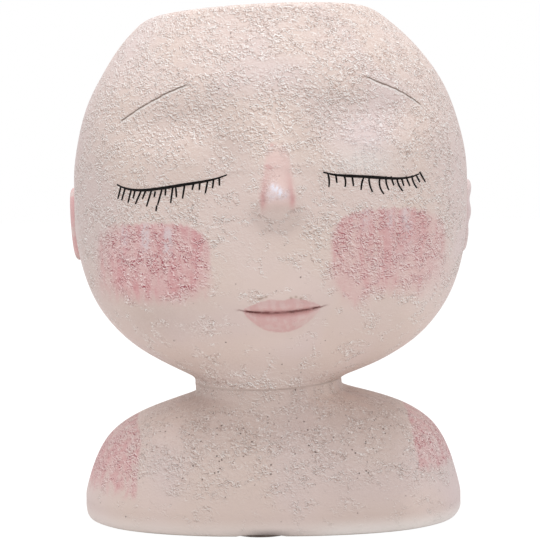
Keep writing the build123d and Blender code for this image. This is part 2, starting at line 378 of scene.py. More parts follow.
# %% Meshes from grids
rng = np.random.default_rng(7)
WAVES = rng.normal(size=(14, 3))
WAVES *= (rng.uniform(0.16, 0.42, 14) / np.linalg.norm(WAVES, axis=1))[:, None]
PHASES = rng.uniform(0, 6.28, 14)
HEAD_WAVE, BASE_WAVE, BOWL_WAVE = 0.12, 0.16, 0.25


def hand_made(points, depth):
    """Points pushed out from the axis by a sum of slow sine waves, as a hand-finished mould leaves them."""
    waves = np.sin(points @ WAVES.T + PHASES).sum(axis=-1) / len(PHASES) ** 0.5
    outward = points[..., :2] / np.maximum(np.linalg.norm(points[..., :2], axis=-1, keepdims=True), 1)
    moved = points.copy()
    moved[..., :2] += outward * waves[..., None] * depth
    return moved


def ring_faces(grid, capped=False):
    """Quads between a grid's rings. The last joins the first, or if capped each gets one many-sided face."""
    rows, columns = grid.shape[:2]
    row, column = np.meshgrid(np.arange(rows - capped), np.arange(columns), indexing="ij")
    next_row, next_column = (row + 1) % rows, (column + 1) % columns
    corners = [row * columns + column, row * columns + next_column,
               next_row * columns + next_column, next_row * columns + column]
    caps = [list(range(columns))[::-1], list(range((rows - 1) * columns, rows * columns))]
    return np.stack(corners, axis=-1).reshape(-1, 4).tolist() + (caps if capped else [])


def piece(name, points, faces, finish, slot, body="planter", sharp=40, **masks):
    """A mesh object in the frame from points in millimetres, with float masks as attributes."""
    mesh = bpy.data.meshes.new(name)
    mesh.from_pydata((points.reshape(-1, 3) * MM).tolist(), [], faces)
    for mask, values in masks.items():
        mesh.attributes.new(mask, "FLOAT", "POINT").data.foreach_set("value", np.ravel(values).astype(np.float32))
    mesh.shade_smooth()
    mesh.set_sharp_from_angle(angle=radians(sharp))
    mesh.materials.append(finish)
    made = bpy.data.objects.new(name, mesh)
    bpy.context.scene.collection.objects.link(made)
    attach(made, body)
    print(name, len(mesh.vertices), "points,", sum(len(f.vertices) - 2 for f in mesh.polygons), "triangles")
    return made


def around(columns, bunching):
    """Angles round the axis from the front, closest together there: a = 2 pi t - b sin(2 pi t) - pi / 2."""
    turn = 2 * np.pi * np.arange(columns) / columns
    return turn - bunching * np.sin(turn) - np.pi / 2


def spread_levels(low, high, count, sizes, weight):
    """Heights spaced evenly along the profile's length, where a stretch of greater weight counts for more."""
    z = np.linspace(low, high, 4000)
    step = np.hypot(np.diff(sizes(z)), np.diff(z)) * weight((z[1:] + z[:-1]) / 2)
    length = np.concatenate([[0], np.cumsum(step)])
    return np.interp(np.linspace(0, length[-1], count), length, z)


def circle(angle, radius, height, lean=LEAN):
    """A circle round the axis at a height, in a plane that leans towards +x."""
    x, y = radius * np.cos(angle), radius * np.sin(angle)
    return np.stack([x * cos(lean), y, height + x * sin(lean)], axis=-1)


# %% The head's casting
HEAD_COLUMNS, SKIN_LEVELS, BOWL_LEVELS, RIM_OUTER_RINGS, RIM_INNER_RINGS = 400, 180, 30, 12, 7
MOUTH_SHARE = (RIM_HALF_WIDTH - RIM_WIDTH) / (HEAD_HALF_WIDTH - HEAD_WALL)
BOWL_DOME = (CROWN_RISE - MOUTH_LIP) / (1 - MOUTH_SHARE ** 2) ** 0.5
BOWL_FLOOR = WIDEST - JAW_REACH + HEAD_WALL
SUMP_RADIUS = THROAT_RADIUS + SUMP_LEDGE
head_angle = around(HEAD_COLUMNS, 0.7)[None, :]


def head_skin(level):
    """Outer skin at levels that lean with the neck's and the crown's cuts."""
    lean = tan(LEAN) * ramp(level, NECK_HEIGHT + 14, NECK_HEIGHT) + tan(CROWN_LEAN) * ramp(level, CROWN - 16, CROWN)
    z = level + 0 * head_angle
    for _ in range(6):
        x, y = oval(head_angle, *head_sizes(z))
        z = level + lean * (x + side_shift(z))
    y = y - face_relief(x, z) * ramp(-np.sin(head_angle), 0, 0.5)
    return np.stack([x + side_shift(z), y, z], axis=-1)


def bowl_skin(level):
    """The planting bowl's wall at levels, one wall inside the plain egg and no smaller than its sump."""
    share = egg_share(level - WIDEST, BOWL_DOME, JAW_REACH - HEAD_WALL)
    sizes = [larger((size - HEAD_WALL) * share, SUMP_RADIUS) for size in (HEAD_HALF_WIDTH, HEAD_FRONT, HEAD_BACK)]
    x, y = oval(head_angle, *sizes)
    return np.stack([x + side_shift(level), y, level + 0 * x], axis=-1)


def rolled(start, corner, end, count):
    """Rings along a quadratic curve, (1-t)^2 start + 2t(1-t) corner + t^2 end, without its two ends."""
    t = np.linspace(0, 1, count + 2)[1:-1, None, None]
    return (1 - t) ** 2 * start + 2 * t * (1 - t) * corner + t ** 2 * end


neck_top = NECK_HEIGHT + BOND_THICKNESS / 2
skin_levels = spread_levels(neck_top, CROWN - RIM_ROUND, SKIN_LEVELS, lambda z: head_sizes(z)[0],
                            lambda z: 1 + 1.1 * ramp(z, 56, 66) * ramp(z, 150, 128))[:, None]
outer = head_skin(skin_levels)
outer[2:] = hand_made(outer[2:], HEAD_WAVE)
corner = head_skin(np.array([[CROWN]]))
mouth = bowl_skin(np.array([[CROWN - MOUTH_LIP]]))
mouth_top = mouth.copy()
mouth_top[..., 2] = CROWN + mouth_top[..., 0] * tan(CROWN_LEAN)
rim_middle = (corner + mouth_top) / 2 + [0, 0, -0.15]
rim = np.concatenate([rolled(outer[-1:], corner, rim_middle, RIM_OUTER_RINGS), rim_middle,
                      rolled(rim_middle, mouth_top, mouth - [0, 0, MOUTH_ROUND], RIM_INNER_RINGS)])
bowl_levels = spread_levels(BOWL_FLOOR, CROWN - MOUTH_LIP - MOUTH_ROUND, BOWL_LEVELS,
                            lambda z: egg_share(z - WIDEST, BOWL_DOME, JAW_REACH - HEAD_WALL) * HEAD_HALF_WIDTH,
                            lambda z: 1 + 0 * z)[::-1, None]
bowl = hand_made(bowl_skin(bowl_levels), BOWL_WAVE)
spigot_foot = NECK_HEIGHT - SPIGOT_LENGTH
inner_rings = [(THROAT_RADIUS, BOWL_FLOOR), (THROAT_RADIUS, spigot_foot + 4), (THROAT_RADIUS, spigot_foot),
               (SPIGOT_RADIUS - SPIGOT_LEAD, spigot_foot), (SPIGOT_RADIUS, spigot_foot + SPIGOT_LEAD),
               (SPIGOT_RADIUS, neck_top)]
throat = np.concatenate([circle(head_angle, *ring) for ring in inner_rings])
head_grid = np.concatenate([outer, rim, bowl, throat])
hollow = np.concatenate([np.zeros(len(outer) + RIM_OUTER_RINGS), np.linspace(0, 1, len(rim) - RIM_OUTER_RINGS),
                         np.ones(len(bowl) + len(throat))])[:, None] + 0 * head_angle
print("head grid:", head_grid.shape)

# %% [markdown]
# ## Brush marks by the pixel
# Paint is placed where the picture shows it. A listed pixel, an across and a down, goes along its ray to the
# skin, which gives a brush mark's x and z. Paint masks are soft steps and bells of x and z, and a second mask
# keeps them on the front of the head.

# %% Marks
def dabs(x, z, pixels, across, tall):
    """Small soft brush marks at pixels: the sum of bells of a reach across and a reach up."""
    total = 0
    for at_x, at_z in np.transpose(unproject(*np.reshape(pixels, (-1, 2)).T, face_at)).tolist():
        total = total + hill(x - at_x, across) * hill(z - at_z, tall)
    return limited(total)


def between(value, low, high, soft):
    """1 from low to high, with ends that are soft over a reach on either side."""
    return ramp(value, low - soft, low + soft) * ramp(value, high + soft, high - soft)


# %% [markdown]
# ## The skin coat
# The coat is thick, matt and brushed on nearly dry, so it stands up in crumbs and short crooked wrinkles, in
# clusters with calm places between. The high parts of a swirled noise are such crumbs, lines of equal value in
# a coarser one are the wrinkles, and a third noise gathers both. Pinholes are the middles of Voronoi cells. All
# go into the bump at their real height, and tint the paint with a painted shadow just under a wrinkle and a
# painted highlight along its top, found by comparing the coat with itself a step higher.

# %% Wrinkles and pinholes
WRINKLE_HEIGHT, GRAIN_HEIGHT, LUMP_HEIGHT, PINHOLE_DEPTH = 0.14, 0.07, 0.08, 0.2
CRUMB_STRETCH, RELIEF_STEP = (0.95, 0.95, 1.15), (0.14, 0.0, 0.28)


def crumbs(finish, vector):
    """The high parts of a swirled noise, and worms, broken lines where a coarser one passes its middle."""
    worms = ramp(abs(finish.noise(1.4, 1.0, 0.7, CRUMB_STRETCH, vector) - 0.5), 0.1, 0.015)
    return limited(finish.patches(0.88, 0.53, 0.6, 1.0, 1.2, CRUMB_STRETCH, vector) * 0.9
                   + worms * finish.patches(1.7, 0.46, 0.58, 0.0, vector=vector))


def pinholes(finish, spacing, radius):
    """Round holes at the middles of Voronoi cells of a spacing, all in millimetres."""
    distance = finish.node("TexVoronoi", sockets={"Vector": finish.vector, "Scale": 1 / spacing}, out="Distance")
    return ramp(distance * spacing, radius, radius * 0.35)


def skin_coat(finish, calm, busy):
    """Height in millimetres, the masks of wrinkles and holes, and relief: 1 just under a wrinkle, -1 on its top.

    The crowd of wrinkles is a broken cluster noise that calm thins and busy thickens, both from 0 to 1. Relief
    is the wrinkles a step higher less the wrinkles here.
    """
    clusters = finish.noise(7.0, 3.0, 0.8, (1, 1, 1.4))
    broken = finish.patches(2.6, 0.42, 0.58, 1.0)
    crowd = ramp(clusters + busy * 0.08 - calm * 0.12, 0.39, 0.64) * (0.5 + broken * 0.5) + (1 - calm) * 0.16
    wrinkle = crumbs(finish, finish.vector) * crowd
    higher = finish.node("VectorMath", {"operation": "ADD"}, {0: finish.vector, 1: RELIEF_STEP})
    relief = crumbs(finish, higher) * crowd - wrinkle
    grain = finish.noise(0.65, 1.0) - 0.5
    lumps = finish.noise(5.5) - 0.5
    holes = pinholes(finish, 3.2, 0.34) * finish.patches(8.0, 0.47, 0.6, 1.0)
    height = (wrinkle * WRINKLE_HEIGHT + grain * GRAIN_HEIGHT * (1 - calm * 0.5) + lumps * LUMP_HEIGHT
              - holes * PINHOLE_DEPTH)
    return height, wrinkle, holes, relief


# %% Paint of the skin
PEACH, ROSE_WHITE, LILAC = colour(229, 209, 200), colour(231, 211, 204), colour(223, 206, 209)
BLUSH, BLUSH_SHADOW, BLUSH_HIGHLIGHT = colour(223, 176, 177), colour(168, 80, 92), colour(255, 232, 231)
BLUSH_RED, PALE_STROKE = colour(208, 138, 142), colour(228, 213, 217)
# Tones for a painted shadow under the wrinkles, a painted highlight (also on a lid, the brows and the foot) and
# painted shade
SHADOW_TONE, HIGHLIGHT_TONE = colour(178, 151, 141), colour(255, 250, 247)
PIT, RAW_RESIN, SHADE_TONE = colour(96, 70, 60), colour(205, 196, 186), colour(200, 180, 172)
RAW_DULL, NOTCH_SHADE = colour(188, 177, 166), colour(142, 130, 127)
PAINT_SPECULAR = 0.4


def skin_tone(finish, x, relief, holes, painted_shade=0.0, lit=0.95):
    """Peach with rose-white and lilac drifts, lilac sides as painted cool side light, painted shade, and wrinkles
    with a painted shadow below and a painted highlight above; dark holes.
    """
    return finish.coats(PEACH, (finish.patches(26.0, 0.42, 0.62), ROSE_WHITE),
                        (finish.patches(40.0, 0.5, 0.7, 1.0, 0.5) * 0.4, LILAC),
                        # Lilac towards the sides is painted cool side light; then painted shade, and the relief
                        # gives a painted shadow under each wrinkle and a painted highlight along its top.
                        (ramp(abs(x), 44, 66) * 0.45, LILAC), (painted_shade, SHADE_TONE),
                        (limited(relief * 1.5) * 0.84, SHADOW_TONE), (limited(relief * -2.0) * lit, HIGHLIGHT_TONE),
                        (holes * 0.75, PIT))


def blush_coats(mask, cover, red, relief, dark, light):
    """Blush on a mask: pink by its cover, red places, wrinkles dark red below as caught paint and painted shadow,
    with a painted highlight above; dark and light are each (gain, share).
    """
    return ((mask * limited(cover), BLUSH), (red, BLUSH_RED),
            (mask * limited(relief * dark[0]) * dark[1], BLUSH_SHADOW),
            (mask * limited(relief * -light[0]) * light[1], BLUSH_HIGHLIGHT))


def raw_coat(finish, hollow, edge):
    """A coat of bare mottled resin over the inside, from an edge value of the hollow mask up to 0.9."""
    raw = finish.coats(RAW_RESIN, (finish.patches(7.0, 0.35, 0.65, 3.0), RAW_DULL))
    return ramp(hollow, edge, 0.9), raw


# %% [markdown]
# ## The painted face
# From the base coat up: blush on the cheeks, dry-brushed upwards so that its edges are ragged, with dark red
# caught in the wrinkles and painted as shadow just under them, a painted highlight along their tops and a few
# pale strokes over it; a pink nose with a painted lilac-white highlight on its tip and painted shade under it;
# matt pink lips with a dark red line between them; thin scratched brows. Everything is masked to the front.

# %% Cheeks
PALE_DABS_PX = (124, 236, 145, 232, 145, 241, 168, 236, 167, 244, 366, 219, 391, 221, 409, 231, 405, 215)


def cheek(finish, x, z, middle, half_width, half_height, side, fade):
    """Blush mask: a rounded box (|u|^3 + |v|^3)^(1/3) < 1 with ragged ends, that fades outwards and down."""
    at_x, at_z = (float(value) for value in unproject(*middle, face_at))
    ragged = finish.noise(1.6, stretch=(1, 0.2, 0.3)) - 0.5
    u = (x - at_x) / half_width
    v = (z - at_z + ragged * 3.0) / half_height
    reach = (abs(u) ** 3 + abs(v) ** 3) ** (1 / 3)
    soft = 0.06 + fade * ramp(u * side, 0.2, 1) + 0.26 * ramp(-v, 0.1, 1)
    return ramp(reach, 1 + soft, 1 - soft)


def blushed(finish, x, z, front, tone, relief):
    """The tone with both cheeks on it, red in drifts and streaks, with pale dabs, and the cheeks' mask."""
    left = cheek(finish, x, z, (154, 262), 17.6, 11.8, -1, 0.17)
    right = limited(cheek(finish, x, z, (390, 250), 18.3, 12.8, 1, 0.1)
                    + dabs(x, z, (343, 272, 350, 284, 356, 294), 3.2, 3.4))
    mask = limited(left + right * 0.72) * front
    strokes = finish.noise(2.4, stretch=(1, 0.3, 0.16))
    drifts = finish.patches(3.4, 0.48, 0.62, 2.0, 0.6)
    red = mask * (drifts * 0.12 + ramp(strokes, 0.48, 0.62) * 0.32)
    pale = dabs(x, z, PALE_DABS_PX, 1.2, 3.8) * finish.patches(1.3, 0.36, 0.56, 1.0)
    coats = blush_coats(mask, 0.72 + (strokes - 0.5) * 1.2, red, relief, (1.8, 0.95), (2.2, 0.9))
    return finish.coats(tone, *coats, (pale * mask * 0.72, PALE_STROKE)), mask


# %% Nose, eyes and brows
NOSE_PINK, NOSE_RED, NOSE_HIGHLIGHT = colour(231, 196, 191), colour(208, 148, 147), colour(243, 239, 250)
NOSE_SHADE, SMUDGE_AND_SHADE, BROW_TAN = colour(196, 178, 172), colour(150, 139, 134), colour(98, 74, 56)
LEFT_BROW_PX = (121, 121, 135, 112.5, 143, 106, 152, 100, 164.5, 95, 176.5, 89, 186.6, 84.6)
RIGHT_BROW_PX = (367, 77, 382, 83.5, 393.5, 88, 399, 90.5, 410, 97, 421, 105)
brow_curves = [(curve_through(pixels, face_at),
                *unproject(np.array(pixels)[[0, -2]], np.array(pixels)[[1, -1]], face_at)[0].tolist())
               for pixels in (LEFT_BROW_PX, RIGHT_BROW_PX)]


def nose_paint(finish, x, z, front, tone):
    """The tone with a ragged pink strip down the nose, redder along its edges, painted shade under it, and a painted
    highlight on the tip.
    """
    ragged = (finish.noise(1.5, stretch=(1, 0.3, 0.5)) - 0.5) * 2.4
    aside = abs(x + ragged * 0.5 - 2.1) + ramp(z, 106, 124) * 2.2 - 5.4
    strip = ramp(aside, 1.0, -1.0) * between(z + ragged, 104.8, 122.5, 3.0) * front
    shade = dabs(x, z, (262, 214, 276, 215, 292, 214, 270, 225, 286, 225), 4.2, 3.2)
    wings = (dabs(x, z, (262, 200, 293, 199), 0.8, 2.2) * 0.6
             + dabs(x, z, (272, 145, 267, 166, 270, 168), 0.8, 0.5))
    edges = hill(aside + 1.0, 1.1) * ramp(z, 119, 106) * strip * 0.5 + wings * front * 0.45
    streaks = finish.patches(0.9, 0.36, 0.6, stretch=(1, 1, 0.6))
    haze = dabs(x, z, (274, 189, 284, 195, 272, 196), 1.8, 1.6) * 0.4 * (0.5 + streaks * 0.5)
    glint = dabs(x, z, (274, 187, 278, 189, 281, 194), 0.9, 0.9) * 0.85 * streaks
    return finish.coats(tone, (strip * 0.6, NOSE_PINK), (shade * front * 0.42, NOSE_SHADE),
                        (limited(edges), NOSE_RED), (limited(haze + glint) * front, NOSE_HIGHLIGHT))


def eye_paint(finish, x, z, front, tone):
    """The tone with a thin smudge and painted shade along both eye lines, scratched brows with a painted highlight
    just under each, and the scratches' mask.
    """
    for middle, curve in zip(eye_middles, eye_curves):
        # A grey smudge of liner that is also painted shade, just above the line under the lid's edge.
        shade_smudge = hill(z - curve(x) - 0.1, 1.0) * hill(x - middle, 12) * finish.patches(3.0, 0.38, 0.6, 1.0)
        tone = finish.coats(tone, (shade_smudge * front * 0.42, SMUDGE_AND_SHADE))
    scratch, lit = 0, 0
    # Each brow is a scratch, with a pale line just under it as a painted highlight on its lower edge.
    for curve, start, end in brow_curves:
        over = z - curve(x) + (finish.noise(2.0, 1.0) - 0.5) * 0.5
        length = between(x, start, end, 0.8) * front
        scratch, lit = scratch + hill(over, 0.26) * length, lit + hill(over + 0.55, 0.28) * length
    scratch = limited(scratch)
    return finish.coats(tone, (limited(lit) * 0.6, HIGHLIGHT_TONE), (scratch * 0.9, BROW_TAN)), scratch


# %% Paint of the lips
LIP_PINK, LIP_SOFT = colour(216, 172, 170), colour(220, 186, 183)
MOUTH_RED, LIP_SPECK = colour(118, 62, 58), colour(152, 122, 98)


def lip_paint(finish, x, z, front, tone):
    """The tone with lips between their curves, the mouth line that thins to its ends, and the lips' mask."""
    upper, lower = lip_heights(x)
    rise = z - mouth_curve(x) + (finish.noise(1.2, 1.0) - 0.5) * 0.5
    aside = abs(x - MOUTH_MIDDLE)
    inside = ramp(rise, upper + 0.35, upper - 0.25) * ramp(-rise, lower + 0.45, lower - 0.3)
    lips = inside * ramp(aside, LIP_HALF_WIDTH + 0.4, LIP_HALF_WIDTH - 1.2) * front
    cover = lips * (0.85 - 0.4 * ramp(x - MOUTH_MIDDLE, 3, 10) * ramp(rise, -0.5, -2))
    pink = finish.coats(LIP_PINK, (finish.patches(1.8, 0.42, 0.62, stretch=(1, 1, 0.4)), LIP_SOFT))
    roll = hill(rise + 0.7, 0.9) * ramp(aside, 11, 6) * front
    specks = dabs(x, z, (262, 298, 266, 297, 259, 299.5, 291, 298, 296, 297, 301, 298.5), 0.45, 0.35)
    line = (hill(rise, 0.4 - 0.14 * ramp(aside, 6, 13)) * ramp(aside, LIP_HALF_WIDTH + 3, LIP_HALF_WIDTH - 1)
            * front * (0.55 + finish.patches(2.2, 0.36, 0.6, 1.0) * 0.4))
    return finish.coats(tone, (cover, pink), (roll * 0.45, NOSE_RED), (specks * front * 0.6, LIP_SPECK),
                        (line, MOUTH_RED)), lips


# %% The head's finish
def head_finish():
    """The skin coat with the painted face, and bare resin inside."""
    finish, (x, y, z) = material("head_paint")
    hollow = finish.node("Attribute", {"attribute_name": "hollow"}, out="Fac")
    front = ramp(y, -8, -20)
    chin = ramp(z, 88, 70) * ramp(z, 48, 56)
    mouth_side = hill(x - MOUTH_MIDDLE, 18) * hill(z - 72, 10) * front
    middle = hill(x - 2, 19) * between(z, 74, 122, 9) * front
    busy = limited(hill(z - 98, 16) * hill(abs(x + 6) - 38, 19) * 0.8 + ramp(z, 112, 136)) * front
    height, wrinkle, holes, relief = skin_coat(finish, limited(chin * 0.7 + mouth_side + middle * 0.55), busy)
    # Painted shade in the eye hollows, on the lower face either side of the middle, down the left side and under the
    # jaw, less to the right.
    hollows = hill(x + 31, 13) * hill(z - 128.5, 5.5) + hill(x + 13, 6) * hill(z - 123, 7)
    lower_face = hill(z - 70, 11) * (1 - hill(x - 3, 13)) * ramp(abs(x), 50, 38)
    left_side = ramp(-x, 36, 62) + hill(x + 38, 15) * hill(z - 70, 11)
    neck = ramp(z, 62, 48) * (1 - ramp(x, 10, 22) * 0.9)
    painted_shade = limited((hollows * 0.38 + lower_face * 0.24 + left_side * 0.42) * front + neck * 0.5)
    # A lilac tint on the right lid, and a painted highlight along its bulge just above the eye line.
    lid = hill(x - 29, 9) * front
    tone = finish.coats(skin_tone(finish, x, relief, holes, painted_shade),
                        (lid * hill(z - 126, 7) * 0.5, LILAC), (lid * hill(z - 118, 4.5) * 0.4, HIGHLIGHT_TONE))
    tone, blush = blushed(finish, x, z, front, tone, relief)
    tone = nose_paint(finish, x, z, front, tone)
    tone, scratch = eye_paint(finish, x, z, front, tone)
    tone, lips = lip_paint(finish, x, z, front, tone)
    return finish.surface(finish.coats(tone, raw_coat(finish, hollow, 0.15)),
                          0.62 - wrinkle * 0.12 + blush * 0.05,
                          height * (1 - lips * 0.6) - scratch * 0.08, PAINT_SPECULAR)


head_casting = piece("head_casting", head_grid, ring_faces(head_grid), head_finish(), "head_resin",
                     hollow=hollow)
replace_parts(head_casting, "head_bowl")

# %% [markdown]
# ## Ears
# The ears are low ovals on the sides, dished in the middle with a rolled rim, and the right one's rim is worn
# down in two places. Each is a grid of rings round a middle point: the rings' height follows the dish and the
# rim, and the last rings go down into the wall.

# %% Ears
EAR_HALF_HEIGHT, EAR_HALF_DEPTH, EAR_DROP, EAR_SHIFT = 12.9, 9.0, 14.2, 0.9
EAR_SET_BACK, EAR_TOE, EAR_PROUD = 5.0, radians(4), 1.3
EAR_COLUMNS, EAR_RINGS = 96, 34


def ear(side):
    """Rings of an ear: a soft step up from the dish, a round rim from r = 0.86, and a wall down at r = 1.

    The left ear sits lower. Two bells and a soft step wear the right one's rim down.
    """
    angle = 2 * np.pi * np.arange(EAR_COLUMNS)[None, :] / EAR_COLUMNS
    r = np.concatenate([np.linspace(0.04, 1, EAR_RINGS - 4), [1.0, 1.0, 0.97, 0.5]])[:, None]
    down = np.concatenate([np.zeros(EAR_RINGS - 4), [0.8, 2.4, 4.2, 4.4]])[:, None]
    edge = np.clip((r - 0.86) / 0.14, 0, 1)
    lobe = 1 + 0.1 * np.sin(angle) - 0.04 * np.cos(2 * angle)
    out = 0.95 * hill(r - 0.84, 0.16) + 1.15 * ramp(r, 0.1, 0.8) - 1.0 * (1 - np.sqrt(1 - edge ** 2 * 0.999))
    out = out - 0.5 * hill(r - 0.45, 0.16) * (1 + np.cos(angle)) - down
    y = EAR_SET_BACK + EAR_HALF_DEPTH * r * np.cos(angle)
    up = EAR_HALF_HEIGHT * r * np.sin(angle) * lobe / 1.1 + EAR_SHIFT * side
    worn = (1.1 * hill(up - 7.6, 2.4) + 0.8 * hill(up + 0.4, 2.2) + 0.5 * ramp(up, 3, -4)) * (side > 0)
    out = (out - worn * ramp(r, 0.3, 0.6) * ramp(r, 1.3, 0.9)) * EAR_PROUD / 2.1
    x = side * (HEAD_HALF_WIDTH + out * cos(EAR_TOE) + up * sin(EAR_TOE))
    return np.stack([x, y, WIDEST - EAR_DROP + up - out * sin(EAR_TOE) + 0 * angle], axis=-1)


def ear_finish(name, flush, flush_tone):
    """The skin coat with worn patches of a flush over it, and tan under the lobe."""
    finish, (x, _, z) = material(name)
    height, wrinkle, holes, relief = skin_coat(finish, 0.6, 0.0)
    tone = finish.coats(skin_tone(finish, x * 0.8, relief, holes),
                        (finish.patches(4.0, 0.22, 0.5) * flush, flush_tone),
                        (ramp(z, 90, 85) * flush * 0.5, BROW_TAN))
    return finish.surface(tone, 0.6 - wrinkle * 0.1, height * 0.7, PAINT_SPECULAR)


for name, side, flush, flush_tone in (("ear_left", -1, 0.85, BLUSH), ("ear_right", 1, 0.45, LILAC)):
    ear_grid = ear(side)
    faces = ring_faces(ear_grid, capped=True)
    faces = faces if side < 0 else [face[::-1] for face in faces]
    piece(name, ear_grid, faces, ear_finish(name + "_paint", flush, flush_tone), "head_resin")

# %% [markdown]
# ## Painted lines
# Eye lines and lashes are painted with a fine liner in thick black, so each stroke stands a little proud and
# tapers to a point. It is a lens-shaped section carried along a path of pixels, and every point of the section
# is dropped on the skin by itself, so the stroke lies on it without gaps.

# %% Strokes
def on_skin(x, z):
    """Points of the finished head at x and z, and the outward normals there by small differences."""
    step = 0.05
    y = face_at(x, z)
    slope_x = (face_at(x + step, z) - face_at(x - step, z)) / (2 * step)
    slope_z = (face_at(x, z + step) - face_at(x, z - step)) / (2 * step)
    normal = np.stack([slope_x, -np.ones_like(y), slope_z], axis=-1)
    normal /= np.linalg.norm(normal, axis=-1, keepdims=True)
    return hand_made(np.stack([x, y, z], axis=-1), HEAD_WAVE), normal


LENS = np.array([(-1.0, -0.25), (-0.95, 0.2), (-0.55, 0.8), (0.0, 1.0), (0.55, 0.8), (0.95, 0.2), (1.0, -0.25),
                 (0.5, -2.2), (-0.5, -2.2)])


def stroke(pixels, start, middle, end, proud, count):
    """A tapered stroke through pixels: polynomials of the share of its length, widths by a parabola."""
    pixels = np.reshape(pixels, (-1, 2)).astype(float)
    length = np.concatenate([[0], np.cumsum(np.linalg.norm(np.diff(pixels, axis=0), axis=1))])
    share = length / length[-1]
    fit = np.polyfit(share, pixels, min(len(pixels) - 1, 4))
    s = np.linspace(0, 1, count)
    px, py = (np.polyval(fit[:, axis], s) for axis in (0, 1))
    x, z = unproject(px, py, face_at)
    width = start + (end - start) * s + 4 * (middle - (start + end) / 2) * s * (1 - s)
    along = np.stack([np.gradient(x), np.gradient(z)], axis=-1)
    along /= np.linalg.norm(along, axis=-1, keepdims=True)
    offset = LENS[None, :, 0] * width[:, None] / 2
    points, normals = on_skin(x[:, None] + along[:, 1:] * offset, z[:, None] - along[:, :1] * offset)
    return points + normals * (LENS[None, :, 1:] * proud * np.minimum(1, width / middle)[:, None, None])


def strokes(name, paths, finish, slot):
    """One piece from several strokes, each closed at its ends."""
    points, faces, first = [], [], 0
    for path in paths:
        points.append(path.reshape(-1, 3))
        faces += [[first + corner for corner in face] for face in ring_faces(path, capped=True)]
        first += len(points[-1])
    return piece(name, np.concatenate(points), faces, finish, slot, sharp=70)


def liner_finish():
    """Black paint, thin and brownish in places, with a soft shine."""
    finish, _ = material("liner_black")
    thin = finish.patches(1.3, 0.5, 0.72)
    tone = finish.coats(colour(8, 6, 6), (thin * 0.25, colour(66, 54, 50)))
    return finish.surface(tone, 0.6 + thin * 0.2, (finish.noise(0.5) - 0.5) * 0.08, 0.15)


# %% Eye lines and lashes
LEFT_LASHES_PX = (
    (121, 188.5, 118.2, 199), (125.2, 190, 122, 200.4), (131.3, 191, 128.2, 202.8), (135, 192, 133, 198.4),
    (141, 192, 135.4, 204), (145.8, 191, 142.2, 199), (151.4, 191, 146.4, 206.6), (155, 193, 154, 197),
    (162, 190, 157.4, 205), (156.7, 207, 155.8, 211), (165.4, 190, 165, 195.5), (172.6, 189, 170.4, 203),
    (175.7, 189, 176.2, 197.4), (184.5, 186.5, 182.3, 198.6), (193.5, 185.5, 192, 190), (199.8, 184, 199.2, 190),
    (207.6, 183, 205.3, 193.2), (213.6, 181, 212.6, 188.2), (219.2, 178.6, 219.5, 185.6))
RIGHT_LASHES_PX = (
    (328, 175, 329.3, 181, 329, 187), (336, 177, 337, 183), (344, 177, 345.6, 182, 345, 187),
    (352, 177, 353.5, 186), (364, 178, 361.6, 184, 361, 190), (369, 178, 370, 186, 372.5, 192),
    (380, 179, 380, 187, 384, 194), (386, 178, 386.6, 184, 389, 190), (391, 178, 394, 185.5),
    (397, 179, 399, 185, 403, 191), (401.5, 179, 404, 186), (406, 178, 410, 186), (412, 177, 414, 183, 417, 188),
    (416, 176, 420, 182), (420, 173.5, 425.6, 182))
LINE_WIDTHS, LINE_PROUD, LINE_ROWS = (0.5, 1.0, 0.42), 0.12, 90
LASH_WIDTHS, LASH_PROUD, LASH_ROWS, ROOT_PX = (0.6, 0.62, 0.5), 0.1, 12, 1.6
liner_black = liner_finish()
for name, eye, lashes in (("eye_line_left", LEFT_EYE_PX, LEFT_LASHES_PX),
                          ("eye_line_right", RIGHT_EYE_PX, RIGHT_LASHES_PX)):
    paths = [stroke(eye, *LINE_WIDTHS, LINE_PROUD, LINE_ROWS)]
    paths += [stroke((root_x, root_y - ROOT_PX, *rest), *LASH_WIDTHS, LASH_PROUD, LASH_ROWS)
              for root_x, root_y, *rest in lashes]
    strokes(name, paths, liner_black, "head_resin")

# %% [markdown]
# ## The shoulders
# The shoulders are the same kind of ring of rings: down the outside, round the foot, across the underside, up
# the drain hole, over the floor, up the chamber and out through the collar. Their levels are ovals, squarer
# towards the foot, and each leans a little more than the one below it.

# %% Sizes of the shoulders
SHOULDER_HALF_WIDTH, SHOULDER_HALF_DEPTH, SHOULDER_LEVEL, NECK_STAND = 62.8, 52.0, 9.0, 3.9
BASE_ROUND, BASE_WALL, FLOOR_THICKNESS, COLLAR_DEPTH = 3.5, 5.0, 6.0, 9.0
NOTCH_HALF_WIDTH, NOTCH_HEIGHT, NOTCH_DEPTH, NOTCH_SHIFT = 7.6, 0.8, 12.0, 4.0
RECESS_RADIUS, RECESS_DEPTH, DRAIN_RADIUS = 12.0, 3.4, 7.0
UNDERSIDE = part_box("foot_pad_rear")[1][2] / MM
FLOOR_TOP = UNDERSIDE + FLOOR_THICKNESS
CHAMBER_TOP = NECK_HEIGHT - COLLAR_DEPTH
SOCKET_RADIUS = SPIGOT_RADIUS + 0.3
SHOULDER_COLUMNS, SHOULDER_LEVELS, FOOT_RINGS, CHAMBER_RINGS, PAINTED_FOOT_RINGS = 360, 100, 8, 26, 5
shoulder_angle = around(SHOULDER_COLUMNS, 0.6)[None, :]


def shoulder_share(z):
    """Width as a share of the widest: 1 - 0.18 c^1.2 - 0.48 c^5.4 with the climb c over the widest level."""
    climb = np.clip(z - SHOULDER_LEVEL, 0, None) / (NECK_HEIGHT - NECK_STAND - SHOULDER_LEVEL)
    return np.clip(1 - 0.18 * climb ** 1.2 - 0.48 * climb ** 5.4, 0, 1)


